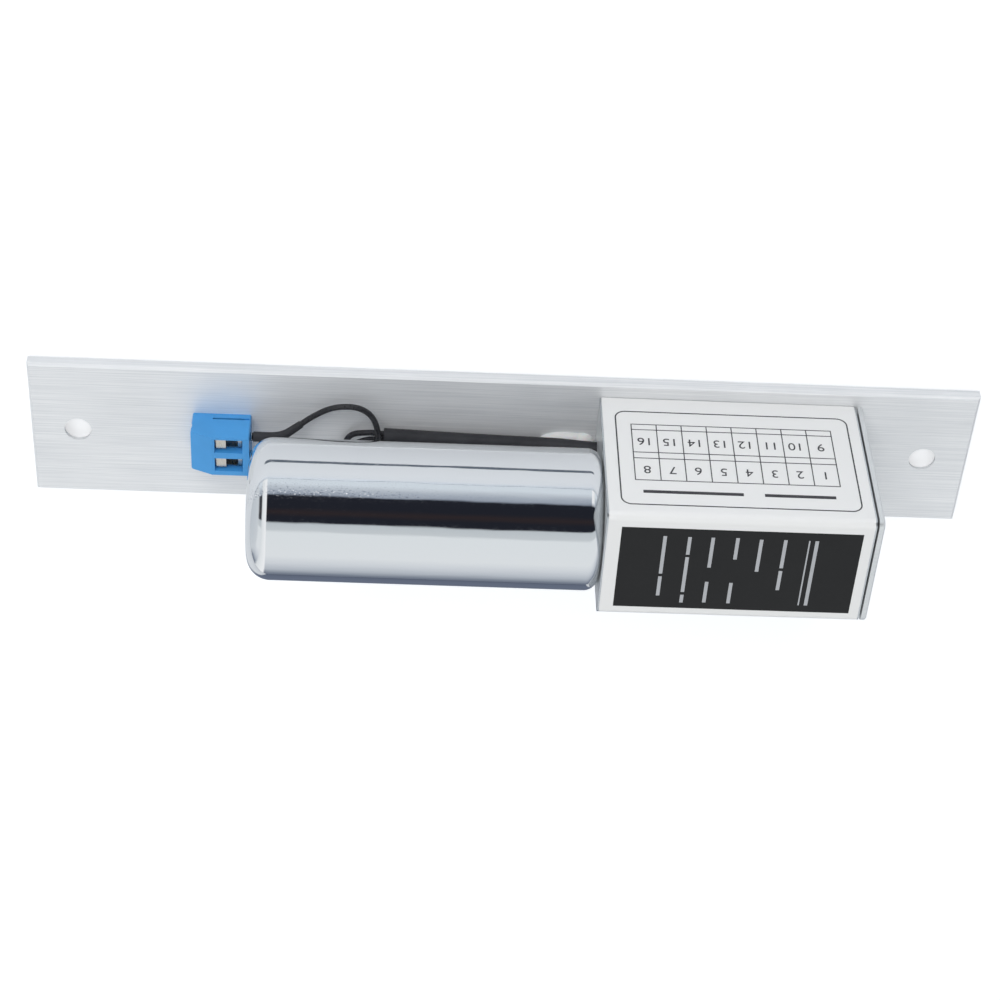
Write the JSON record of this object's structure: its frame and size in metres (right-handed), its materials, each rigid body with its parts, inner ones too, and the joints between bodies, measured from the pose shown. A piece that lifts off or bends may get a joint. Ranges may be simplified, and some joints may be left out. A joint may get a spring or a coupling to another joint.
{
  "type": "electric bolt lock",
  "caption": "Electric bolt lock: long faceplate with a solenoid can, a box that holds a bell crank and bolt, and a two-pole terminal block.",
  "frame": {"origin": "middle of the faceplate's front face, which the lock lies on", "axes": "+X along the faceplate towards the terminal block, +Z from the faceplate's front to its rear; the bolt leaves along -Z"},
  "size_m": [0.205, 0.035, 0.0421],
  "materials": {
    "plate_aluminium": "brushed along its length",
    "zinc_plated_steel": "satin, zinc plated",
    "chrome_plate": "polished chrome plate",
    "cover_steel": "satin",
    "white_label": "glossy printed film",
    "bolt_steel": "ground stainless",
    "guide_brass": "turned",
    "screw_steel": "nickel plated",
    "soft_iron": "turned, nickel plated",
    "bobbin_nylon": "moulded nylon",
    "winding_copper": "enamelled copper wire",
    "bumper_rubber": "matt",
    "board_laminate": "solder resist",
    "black_component": "moulded",
    "reed_glass": "clear",
    "terminal_blue": "moulded, semi-gloss",
    "contact_nickel": "nickel plated brass",
    "solder": "bright",
    "lead_black": "soft PVC",
    "sleeve_black": "heat-shrink tube",
    "glue_white": "hot-melt glue"
  },
  "bodies": {
    "lock_body": {"faceplate": "plate_aluminium", "mech_frame": "zinc_plated_steel", "solenoid_can": "chrome_plate", "housing_cover": "cover_steel", "wrap_label": "white_label", "crank_pivot_pin": "bolt_steel", "spring_anchor_pin": "bolt_steel", "return_spring": "bolt_steel", "bolt_guide": "guide_brass", "frame_screws": "screw_steel", "cover_screws": "screw_steel", "board_screws": "screw_steel", "solenoid_nut": "screw_steel", "front_pole": "soft_iron", "rear_washer": "soft_iron", "coil_bobbin": "bobbin_nylon", "board_spacers": "bobbin_nylon", "coil_winding": "winding_copper", "plunger_bumper": "bumper_rubber", "control_board": "board_laminate", "board_capacitor": "black_component", "board_transistor": "black_component", "reed_switch": "reed_glass", "terminal_housing": "terminal_blue", "terminal_contacts": "contact_nickel", "solder_joints": "solder", "supply_lead_a": "lead_black", "supply_lead_b": "lead_black", "coil_leads": "lead_black", "lead_sleeve": "sleeve_black", "heat_shrink_a": "sleeve_black", "heat_shrink_b": "sleeve_black", "hot_melt_glue": "glue_white"},
    "bolt": {"bolt": "bolt_steel", "bolt_cross_pin": "bolt_steel"},
    "crank": {"bell_crank": "zinc_plated_steel"},
    "plunger": {"plunger": "soft_iron", "push_rod": "bolt_steel", "rod_cross_pin": "bolt_steel"},
    "terminal_screw_1": {"terminal_screw_1": "screw_steel"},
    "terminal_cage_1": {"terminal_cage_1": "contact_nickel"},
    "terminal_screw_2": {"terminal_screw_2": "screw_steel"},
    "terminal_cage_2": {"terminal_cage_2": "contact_nickel"}
  },
  "joints": [
    {"name": "plunger_slide", "type": "slide", "parent": "lock_body", "child": "plunger", "axis": [-1, 0, 0], "range_m": [0, 0.00875]},
    {"name": "bolt_slide", "type": "slide", "parent": "lock_body", "child": "bolt", "axis": [0, 0, -1], "range_m": [0, 0.014], "stiffness_N_per_m": 120, "springref_m": -0.02, "deforming": ["return_spring"]},
    {"name": "crank_turn", "type": "hinge", "parent": "lock_body", "child": "crank", "pos_m": [-0.035, 0, 0.017], "axis": [0, -1, 0], "range_deg": [0, 47.26]},
    {"name": "terminal_screw_1_turn", "type": "hinge", "parent": "lock_body", "child": "terminal_screw_1", "pos_m": [0.066, -0.00359, 0.0073], "axis": [-1, 0, 0], "range_deg": [0, 1440]},
    {"name": "terminal_cage_1_slide", "type": "slide", "parent": "lock_body", "child": "terminal_cage_1", "axis": [1, 0, 0], "range_m": [0, 0.002]},
    {"name": "terminal_screw_2_turn", "type": "hinge", "parent": "lock_body", "child": "terminal_screw_2", "pos_m": [0.066, 0.00149, 0.0073], "axis": [-1, 0, 0], "range_deg": [0, 1440]},
    {"name": "terminal_cage_2_slide", "type": "slide", "parent": "lock_body", "child": "terminal_cage_2", "axis": [1, 0, 0], "range_m": [0, 0.002]}
  ],
  "couplings": [
    {"joint": "bolt_slide", "follows": "plunger_slide", "ratio": 1.6},
    {"joint": "crank_turn", "follows": "plunger_slide", "rad_per_m": 94.263},
    {"joint": "terminal_screw_1_turn", "follows": "terminal_cage_1_slide", "rad_per_m": 12566},
    {"joint": "terminal_screw_2_turn", "follows": "terminal_cage_2_slide", "rad_per_m": 12566}
  ]
}
